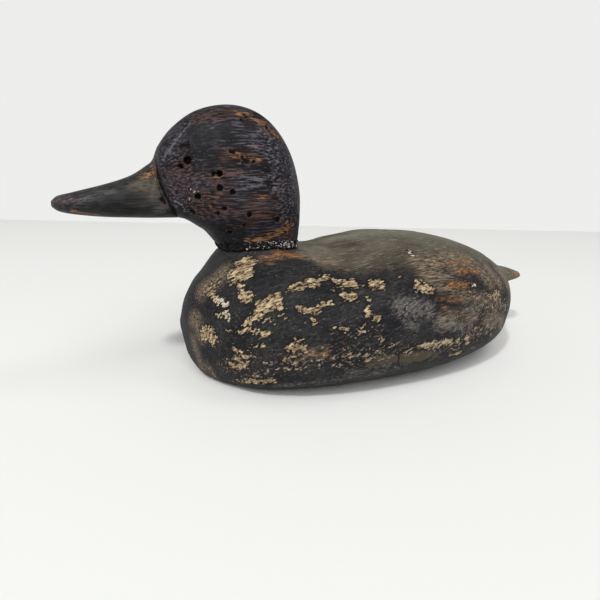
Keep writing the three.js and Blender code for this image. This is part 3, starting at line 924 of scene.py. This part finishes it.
def head_paint(look):
    """Blue-black paint, thinner and browner along the grain, with holes, scuffs and bare rims."""
    mix = Finish("head_paint")
    fine = mix.grain(1.0, 2.6, 0.13)
    flake = mix.grain(2.2, 2.6, 0.29)
    cloud = mix.grain(10, 1.8, 0.41)
    hair = mix.grain(0.75, 12, 0.59, rise=2)
    thread = mix.grain(1.0, 8, 0.83, rise=-5)
    speck = mix.grain(0.8, 1.4, 0.71, detail=1.0)
    pitch, soot = paint(6, 5, 8), paint(15, 14, 16)

    # The head's paint, then the bill's
    colour = mix.coats(
        look.paint_dark,
        (look.paint_light, cloud, 0.34, 0.66),
        (paint(91, 87, 94), hair, 0.49, 0.68, 0.8),
        (paint(62, 48, 48), thread, 0.58, 0.76, 0.5),
        (pitch, fine, 0.5, 0.34, 0.85),
        (pitch, hair, 0.45, 0.36, 0.8),
    )
    bill = mix.coats(
        paint(36, 36, 38),
        (paint(55, 53, 52), cloud, 0.4, 0.62),
        (paint(72, 68, 64), hair, 0.5, 0.74, 0.6),
        (soot, hair, 0.48, 0.34, 0.6),
        (soot, fine, 0.46, 0.32, 0.4),
    )
    colour = mix.over(colour, bill, mix.mark("bill"))

    # Reddish places, scuffs, the tan side of the bill, and dark places
    tint = mix.step(mix.mark("tint"), -0.8, 1.6)
    colour = mix.coats(colour, (paint(78, 58, 58), thread, 0.36, 0.66, 0.75), within=tint)
    colour = mix.coats(
        colour,
        (paint(106, 102, 109), hair, 0.46, 0.68, 0.8),
        (paint(124, 120, 122), speck, 0.6, 0.74, 0.6),
        within=mix.step(mix.mark("scuff"), -1.0, 1.8),
    )
    tan = mix.step(mix.mark("tan"), -1.0, 1.4)
    colour = mix.coats(colour, (paint(98, 88, 74), fine, 0.2, 0.66, 0.75), within=tan)
    dark = mix.step(mix.mark("dark"), -0.8, 1.0)
    colour = mix.coats(colour, (paint(14, 13, 16), flake, 0.2, 0.5, 0.8), within=dark)

    # Brown wood between streaks of paint, and wood rubbed to a rusty brown
    colour = mix.coats(
        colour,
        (paint(60, 43, 41), thread, 0.4, 0.56, 0.9),
        (look.brown_wood, hair, 0.52, 0.62, 0.9),
        (paint(10, 8, 10), hair, 0.48, 0.4, 0.9),
        within=mix.step(mix.mark("brown"), -0.7, 1.0),
    )
    worn = mix.coats(
        look.worn_wood,
        (paint(52, 32, 24), fine, 0.54, 0.42),
        (paint(160, 124, 84), hair, 0.52, 0.66, 0.7),
    )
    rust = mix.ragged(mix.mark("rust"), hair, thread, 0.45, 0.75)
    colour = mix.over(colour, worn, mix.product(rust, 0.88))

    # Rubbed edges, white crumbs, the holes with their worn rims and painted shade inside, and the groove's
    # dark middle
    rub = mix.step(mix.mark("rub"), 0.2, 0.8)
    colour = mix.coats(colour, (paint(112, 111, 118), fine, 0.35, 0.6, 0.8), within=rub)
    colour = mix.over(colour, paint(176, 174, 170), mix.ragged(mix.mark("white"), speck, speck, 0.6, 0.7))
    rim = mix.step(mix.mark("rim"), 0.1, 0.7)
    colour = mix.coats(colour, (paint(84, 68, 60), fine, 0.46, 0.62, 0.7), within=rim)
    colour = mix.coats(
        colour,
        # Painted shade inside the holes and gouges
        (paint(6, 5, 5), mix.mark("painted_hole_shade"), 0.25, 0.65),
        (paint(14, 13, 14), mix.mark("groove"), 0.45, 0.95, 0.85),
    )

    roughness = mix.sum(fine, 0.3, look.roughness - 0.15)
    relief = mix.sum(hair, 0.6, mix.sum(fine, 0.4, mix.product(rust, -0.3)))
    return mix.finish(colour, roughness, relief, look.relief)


def filler_crust(look):
    """Dark, crumbling filler with white crumbs, and painted shade in its voids."""
    mix = Finish("filler_crust")
    fine = mix.grain(0.7, 1.0, 0.17)
    clump = mix.grain(2.2, 1.5, 0.43, detail=2.0)
    void = mix.grain(1.1, 1.2, 0.57, detail=1.0)
    crumb = mix.sum(fine, 0.9, mix.sum(clump, 0.8, mix.sum(mix.mark("white"), 0.16, -0.49)))
    colour = mix.coats(
        look.dark,
        (paint(44, 40, 39), fine, 0.42, 0.68),
        (look.crumbs, crumb, 0.5, 0.58),
        # Painted shade in the voids, where the relief is lowest
        (paint(7, 6, 7), void, 0.5, 0.42),
    )
    relief = mix.sum(fine, 0.5, mix.sum(void, 1.2, clump))
    return mix.finish(colour, mix.sum(fine, 0.2, look.roughness - 0.1), relief, FILLER_RELIEF)


class DecoyBodyLook(bpy.types.PropertyGroup):
    """Sizes and colours of the body."""

    rings: IntProperty(name="Rings", description="Rings of points from breast to tail", default=300, min=60)
    sides: IntProperty(name="Sides", description="Points round each ring", default=300, min=60)
    tool_marks: FloatProperty(
        name="Tool marks", description="Depth of the shallow flats left by the carver's tools",
        default=0.35 * MM, unit="LENGTH",
    )
    bare_depth: FloatProperty(
        name="Flaked depth", description="How far flaked patches lie below the paint", default=0.15 * MM,
        unit="LENGTH",
    )
    relief: FloatProperty(name="Relief", description="Depth of the fine relief, in millimetres", default=0.14)
    roughness: FloatProperty(name="Roughness", description="Roughness of the paint", default=0.62)
    paint_dark: FloatVectorProperty(
        name="Dark paint", description="The side's paint where it is darkest", subtype="COLOR",
        default=paint(25, 25, 29),
    )
    paint_light: FloatVectorProperty(
        name="Light paint", description="The side's paint where it is lightest", subtype="COLOR",
        default=paint(44, 43, 43),
    )
    back_dark: FloatVectorProperty(
        name="Dark olive", description="The back's paint where it is darkest", subtype="COLOR",
        default=paint(60, 55, 46),
    )
    back_light: FloatVectorProperty(
        name="Light olive", description="The back's paint where it is lightest", subtype="COLOR",
        default=paint(94, 88, 75),
    )
    bare_wood: FloatVectorProperty(
        name="Bare wood", description="Wood where the paint has flaked off", subtype="COLOR",
        default=paint(142, 123, 96),
    )
    worn_wood: FloatVectorProperty(
        name="Worn wood", description="Wood rubbed bare long ago", subtype="COLOR",
        default=paint(138, 96, 60),
    )


class DecoyHeadLook(bpy.types.PropertyGroup):
    """Sizes and colours of the head and bill."""

    rings: IntProperty(name="Rings", description="Rings of points from neck to bill tip", default=420, min=60)
    sides: IntProperty(name="Sides", description="Points round each ring", default=220, min=60)
    relief: FloatProperty(name="Relief", description="Depth of the fine relief, in millimetres", default=0.3)
    roughness: FloatProperty(name="Roughness", description="Roughness of the paint", default=0.55)
    paint_dark: FloatVectorProperty(
        name="Dark paint", description="The head's paint where it is darkest", subtype="COLOR",
        default=paint(17, 15, 21),
    )
    paint_light: FloatVectorProperty(
        name="Light paint", description="The head's paint where it is lightest", subtype="COLOR",
        default=paint(44, 41, 48),
    )
    brown_wood: FloatVectorProperty(
        name="Brown wood", description="Stained wood along the grain", subtype="COLOR",
        default=paint(86, 60, 48),
    )
    worn_wood: FloatVectorProperty(
        name="Worn wood", description="Wood rubbed bare", subtype="COLOR", default=paint(118, 82, 54),
    )


class DecoyFillerLook(bpy.types.PropertyGroup):
    """Sizes and colours of the filler round the foot of the neck."""

    width: FloatProperty(
        name="Width", description="How far the filler stands out from the neck", default=FILLER_WIDTH * MM,
        unit="LENGTH",
    )
    height: FloatProperty(
        name="Height", description="How far the filler climbs up the neck", default=FILLER_HEIGHT * MM,
        unit="LENGTH",
    )
    roughness: FloatProperty(name="Roughness", description="Roughness of the filler", default=0.85)
    dark: FloatVectorProperty(
        name="Crust", description="The dirty filler", subtype="COLOR", default=paint(20, 18, 18),
    )
    crumbs: FloatVectorProperty(
        name="Crumbs", description="Clean filler where it has crumbled", subtype="COLOR",
        default=paint(186, 180, 174),
    )


class DecoyStageLook(bpy.types.PropertyGroup):
    """The floor, the lights and the air round the decoy."""

    floor: FloatVectorProperty(
        name="Floor", description="The pale floor", subtype="COLOR", default=paint(236, 236, 234),
    )
    floor_behind: FloatProperty(
        name="Floor behind", description="How far the floor runs behind the decoy", default=0.505,
        unit="LENGTH",
    )
    floor_turn: FloatProperty(
        name="Floor turn", description="How far the floor's far edge is turned", default=np.radians(21.5),
        unit="ROTATION",
    )
    sky_low: FloatProperty(name="Wall light", description="Light from level with the decoy", default=0.86)
    sky_high: FloatProperty(name="Ceiling light", description="Light from straight above", default=0.24)
    bill_power: FloatProperty(
        name="Bill light", description="Power of the light beyond the bill", default=27.0, unit="POWER",
    )
    bill_size: FloatProperty(
        name="Bill light size", description="Width of the light beyond the bill", default=0.25, unit="LENGTH",
    )
    tail_power: FloatProperty(
        name="Tail light", description="Power of the light beyond the tail", default=6.5, unit="POWER",
    )
    tail_size: FloatProperty(
        name="Tail light size", description="Width of the light beyond the tail", default=0.9, unit="LENGTH",
    )
    room_power: FloatProperty(
        name="Room light", description="Power of the light from the room", default=33.0, unit="POWER",
    )
    room_size: FloatProperty(
        name="Room light size", description="Width of the light from the room", default=2.4, unit="LENGTH",
    )


class DECOY_OT_body(bpy.types.Operator):
    """Carve and paint the body"""

    bl_idname = "decoy.body"
    bl_label = "Body"

    def execute(self, context):
        look = context.scene.decoy_body
        grid, down = body_grid(look.rings, look.sides)
        skin = Skin(grid, down, grid[..., 1] <= 0, BODY_EDGE)
        marks = body_marks(skin, down.ravel())
        normal = outward(grid).reshape(-1, 3)
        tools = ripples(skin.points, BODY_TOOL_SIZE, seed=11)
        tools += BODY_FINE_TOOL_SHARE * ripples(skin.points, BODY_FINE_TOOL_SIZE, seed=12)
        sunk = look.tool_marks / MM * tool_flats(tools)
        sunk += look.bare_depth / MM * fade(BARE_FULL - marks["bare"], BARE_RAMP)
        sunk += CRACK_DEPTH * np.clip(marks["crack"], 0, 1)
        chipped = 1 + ripples(skin.points, CHIPS_SIZE, seed=13)
        sunk += CHIPS_DEPTH * np.clip(marks["chips"], 0, 1) * chipped
        standing = np.clip(skin.points[:, 2] / WORN_ABOVE, 0, 1)
        worn = skin.points - normal * (sunk * standing)[:, None]
        grid = worn.reshape(grid.shape)
        ends = (grid[0].mean(axis=0), grid[-1].mean(axis=0))
        piece = make_carving("body_carved", grid, ends, marks, "body", body_paint(look))
        return {"FINISHED"}


def body_marks(skin, down):
    """Every kind of wear of the body at each point, on both sides, as strong as the skin's amounts are. The
    olive paint and the ridge's lighter streaks, scratches with a painted highlight, go from 0 to 1."""
    marks = {
        kind: np.maximum(skin.amount(streaks), skin.amount(turned_marks(streaks), left=False))
        for kind, streaks in BODY_WEAR.items()
    }
    marks["crack"] = skin.amount((CRACK,), points=skin.points)
    marks["smudges_and_hollow_darkening"] = np.maximum(marks["smudges_and_hollow_darkening"], skin.amount((RIDGE_HOLLOW_DARKENING,)))
    low = np.interp(skin.points[:, 0], *np.array(OLIVE_EDGE, float).T)
    low = low + OLIVE_WAVER * ripples(skin.points, OLIVE_WAVER_SIZE, seed=21)
    olive = np.clip((low - down) / OLIVE_BLUR + 0.5, 0, 1)
    marks["ridge_scratches_and_highlight"] = np.clip(1 - down / RIDGE_SCRATCH_AND_HIGHLIGHT_WIDTH, 0, 1)
    marks["olive"] = olive * np.clip((skin.points[:, 0] - OLIVE_START) / OLIVE_START_BLUR, 0, 1)
    return marks


class DECOY_OT_head(bpy.types.Operator):
    """Carve and paint the head and bill"""

    bl_idname = "decoy.head"
    bl_label = "Head"

    def execute(self, context):
        look = context.scene.decoy_head
        grid, groove, place = head_grid(look.rings, look.sides)
        skin = Skin(grid, grid[..., 2], grid[..., 1] <= 0, HEAD_EDGE)
        marks = head_marks(skin)
        marks["groove"] = groove.ravel()
        marks["bill"] = np.clip((place.ravel() - GROOVE_SECTION) / BILL_BLUR, 0, 1)
        normal = outward(grid).reshape(-1, 3)
        depth, marks["painted_hole_shade"], marks["rim"] = holes(skin)
        tools = HEAD_TOOL_DEPTH * tool_flats(ripples(skin.points, HEAD_TOOL_SIZE, seed=31))
        away = np.linalg.norm(skin.wavering - skin.point(CROWN_CHIP, True), axis=1)
        uneven = 1 + CROWN_CHIP_ROUGH * ripples(skin.points, CROWN_CHIP_ROUGH_SIZE, seed=32)
        chipped = CROWN_CHIP_DEPTH * fade(away, CROWN_CHIP_RADIUS) * uneven
        worn = skin.points - normal * (depth + tools + chipped)[:, None]
        grid = worn.reshape(grid.shape)
        ends = ((NECK_CENTRE, 0, SEAT_HEIGHT + NECK_HOLLOW), (-LENGTH / 2, 0, BILL_TIP_HEIGHT))
        piece = make_carving("head_carved", grid, ends, marks, "head", head_paint(look))
        return {"FINISHED"}


def head_marks(skin):
    """Every kind of wear of the head at each point, on both sides, as strong as the skin's amounts are."""
    marks = {}
    for kind, streaks in HEAD_WEAR.items():
        smaller = [(*streak[:4], streak[4] * FAR_SIDE_SCALE) for streak in streaks]
        marks[kind] = np.maximum(skin.amount(streaks), skin.amount(smaller, left=False))
    rubs = [skin.amount(FACET_RUB, left, skin.points) for left in (True, False)]
    marks["rub"] = np.maximum(*rubs)
    return marks


def wall(away, size, depth, shape):
    """A hole's depth, its painted shade and its worn rim at each distance from its middle. The depth is a
    smooth step from its full value near the middle to nothing at the rim."""
    start, width, dark_start, dark_width, rim_start, rim_width = shape
    sunk = depth * fade(away - size * start, size * width)
    dark = fade(away - size * dark_start, size * dark_width)
    return sunk, dark, fade(away - size * rim_start, rim_width)


def holes(skin):
    """Depth of the holes and gouges in millimetres, how much painted shade darkens each point, and how worn
    it is, each 0 to 1.
    """
    rough = RIM_ROUGH * ripples(skin.points, RIM_ROUGH_SIZE, seed=51)
    round_points = skin.points + HOLE_WAVER * (skin.wavering - skin.points)
    shift = FAR_SIDE_HOLE_SHIFT
    unseen = [((x + shift, z - shift, *size), False) for x, z, *size in HEAD_HOLES[1::2]]
    walls = []
    for (x, z, radius, depth), left in [(hole, True) for hole in HEAD_HOLES] + unseen:
        away = np.linalg.norm(round_points - skin.point((x, z), left), axis=1)
        walls.append(wall(away + rough, radius, depth, HOLE_WALL))
    for gouge in GOUGES:
        away = stretch_distance(skin.wavering, skin.stops(gouge, True))
        walls.append(wall(away + rough, gouge[4], GOUGE_DEPTH, GOUGE_WALL))
    return np.max(walls, axis=0)


class DECOY_OT_filler(bpy.types.Operator):
    """Press the filler round the foot of the neck"""

    bl_idname = "decoy.filler"
    bl_label = "Neck filler"

    def execute(self, context):
        look = context.scene.decoy_filler
        grid = filler_grid(look.width / MM, look.height / MM)
        points = grid.reshape(-1, 3)
        white = np.interp(points[:, 0], *np.array(FILLER_WHITE).T)
        faces = (grid_faces(*grid.shape[:2], True)[:, (0, 3, 2, 1)],)
        crust = filler_crust(look)
        piece = link_piece("neck_filler_crust", points, faces, {"white": white}, "neck_filler", crust)
        return {"FINISHED"}


def filler_grid(width, height, steps=240, corners=24):
    """The crusty bead: round the neck, at each step, a quarter of an ellipse that stands on the seat and
    leans on the neck. The neck's wall at a height is where the head's skin first reaches it."""
    turn = np.linspace(0, 2 * np.pi, steps, endpoint=False)[None, :]
    place = np.linspace(0, FILLER_REACH, NECK_SAMPLES)[:, None]
    neck, _ = head_points(place + 0 * turn, turn + 0 * place)
    outside = corners // 2
    inside = corners - outside
    profile = np.linspace(0, np.pi / 2, outside)
    rise = np.concatenate((np.sin(profile), np.linspace(1, 0, inside + 1)[1:]))
    out = np.concatenate((np.cos(profile), np.zeros(inside)))
    lump = 1 + FILLER_LUMPS * ripples(neck[0], FILLER_LUMP_SIZE, seed=41)
    lump += FILLER_CLODS * ripples(neck[0], FILLER_CLOD_SIZE, seed=42)
    lump = np.clip(lump, *FILLER_LUMP_LIMITS)[:, None]
    level = height * rise[None, :] * lump
    risen = neck[..., 2] - seat_height(neck[..., 0]) - JOINT_GAP
    reached = (risen[:, :, None] >= level[None]).argmax(axis=0)
    base = neck[reached, np.arange(steps)[:, None]]
    away = base[..., :2] - np.array((NECK_CENTRE, 0))
    away /= np.linalg.norm(away, axis=-1, keepdims=True)
    thin = 1 - FILLER_THINNING * np.abs(away[..., 0]) ** 3
    apart = JOINT_GAP * FILLER_GAP_SHARE + width * out[None, :] * lump * thin
    rough = FILLER_ROUGH * ripples(base.reshape(-1, 3), FILLER_ROUGH_SIZE, seed=43).reshape(apart.shape)
    rough = rough * (out[None, :] > FILLER_ROUGH_START)
    flat = base[..., :2] + away * (apart + rough)[..., None]
    return np.concatenate((flat, (seat_height(flat[..., 0]) + JOINT_GAP + level)[..., None]), axis=-1)


class DECOY_OT_stage(bpy.types.Operator):
    """Set the floor, the lights and the camera"""

    bl_idname = "decoy.stage"
    bl_label = "Stage"

    def execute(self, context):
        look = context.scene.decoy_stage
        set_floor(look)
        set_sky(look)
        set_lights(look)
        set_camera()
        context.scene.view_settings.view_transform = "Standard"
        return {"FINISHED"}


class DECOY_PT_panel(bpy.types.Panel):
    """The decoy's pieces and their looks"""

    bl_idname = "DECOY_PT_panel"
    bl_label = "Bluebill Decoy"
    bl_space_type = "VIEW_3D"
    bl_region_type = "UI"
    bl_category = "Decoy"

    def draw(self, context):
        for operator, name in STEPS:
            box = self.layout.box()
            box.operator(operator)
            look = getattr(context.scene, name)
            for setting in look.bl_rna.properties:
                if setting.identifier in look.__annotations__:
                    box.prop(look, setting.identifier)


def set_floor(look):
    """The pale floor under and round the decoy. It is turned about as far as the camera, and its far edge
    lies behind the decoy."""
    along = np.array((np.cos(look.floor_turn), -np.sin(look.floor_turn), 0))
    back = np.array((np.sin(look.floor_turn), np.cos(look.floor_turn), 0))
    far, near = back * look.floor_behind, back * -FLOOR_REACH
    corners = [near - along * FLOOR_REACH, near + along * FLOOR_REACH]
    corners += [far + along * FLOOR_REACH, far - along * FLOOR_REACH]
    mesh = bpy.data.meshes.new("floor")
    mesh.from_pydata(corners, [], [(0, 1, 2, 3)])
    floor = add_object("floor", mesh)
    mix = Finish("floor_finish")
    mix.shader.inputs["Base Color"].default_value = (*look.floor, 1)
    mix.shader.inputs["Roughness"].default_value = FLOOR_ROUGHNESS
    mix.shader.inputs["Specular IOR Level"].default_value = FLOOR_GLOSS
    mesh.materials.append(mix.material)


def set_sky(look):
    """Soft white light from all round, brighter from the decoy's own level than from above."""
    world = bpy.data.worlds.new("soft_sky")
    bpy.context.scene.world = world
    world.use_nodes = True
    tree = world.node_tree
    background = tree.nodes["Background"]
    background.inputs["Color"].default_value = (*paint(254, 254, 252), 1)
    direction = tree.nodes.new("ShaderNodeTexCoord")
    split = tree.nodes.new("ShaderNodeSeparateXYZ")
    rise = tree.nodes.new("ShaderNodeMapRange")
    rise.interpolation_type = "SMOOTHSTEP"
    for socket, value in zip(rise.inputs[1:5], (*SKY_TURN, look.sky_low, look.sky_high)):
        socket.default_value = value
    tree.links.new(direction.outputs["Generated"], split.inputs[0])
    tree.links.new(split.outputs["Z"], rise.inputs[0])
    tree.links.new(rise.outputs[0], background.inputs["Strength"])


def set_lights(look):
    """A small light from beyond the bill, a softer one from beyond the tail, and the light of the room."""
    for name, place, size, power in (
        ("bill_light", BILL_LIGHT_PLACE, look.bill_size, look.bill_power),
        ("tail_light", TAIL_LIGHT_PLACE, look.tail_size, look.tail_power),
        ("room_light", ROOM_LIGHT_PLACE, look.room_size, look.room_power),
    ):
        light = bpy.data.lights.new(name, "AREA")
        light.shape = "DISK"
        light.size = size
        light.energy = power
        lamp = add_object(name, light)
        lamp.location = place
        lamp.rotation_euler = (-lamp.location).to_track_quat("-Z", "Y").to_euler()


def set_camera():
    """The camera where the photograph was taken from: turned about Z, tilted down, then rolled."""
    camera = bpy.data.cameras.new("camera")
    camera.sensor_width = SENSOR_WIDTH
    camera.lens = SENSOR_WIDTH * FOCAL_PIXELS / PICTURE_PIXELS
    camera.clip_start = CLIP_START
    turn = Matrix.Rotation(np.radians(-CAMERA_TURN), 4, "Z")
    tilt = Matrix.Rotation(np.radians(90 + CAMERA_TILT), 4, "X")
    roll = Matrix.Rotation(np.radians(CAMERA_ROLL), 4, "Z")
    eye = add_object("camera", camera)
    eye.matrix_world = Matrix.Translation(Vector(CAMERA_PLACE) * MM) @ turn @ tilt @ roll
    bpy.context.scene.camera = eye


LOOKS = {
    "decoy_body": DecoyBodyLook,
    "decoy_head": DecoyHeadLook,
    "decoy_filler": DecoyFillerLook,
    "decoy_stage": DecoyStageLook,
}
OPERATORS = (DECOY_OT_body, DECOY_OT_head, DECOY_OT_filler, DECOY_OT_stage)
STEPS = tuple(zip((operator.bl_idname for operator in OPERATORS), LOOKS))


def register():
    for entry in (*LOOKS.values(), *OPERATORS, DECOY_PT_panel):
        bpy.utils.register_class(entry)
    for name, look in LOOKS.items():
        setattr(bpy.types.Scene, name, PointerProperty(type=look))


def unregister():
    for name in LOOKS:
        delattr(bpy.types.Scene, name)
    for entry in reversed((*LOOKS.values(), *OPERATORS, DECOY_PT_panel)):
        bpy.utils.unregister_class(entry)


def main():
    register()
    bpy.ops.decoy.body()
    bpy.ops.decoy.head()
    bpy.ops.decoy.filler()
    bpy.ops.decoy.stage()


if __name__ == "__main__":
    main()
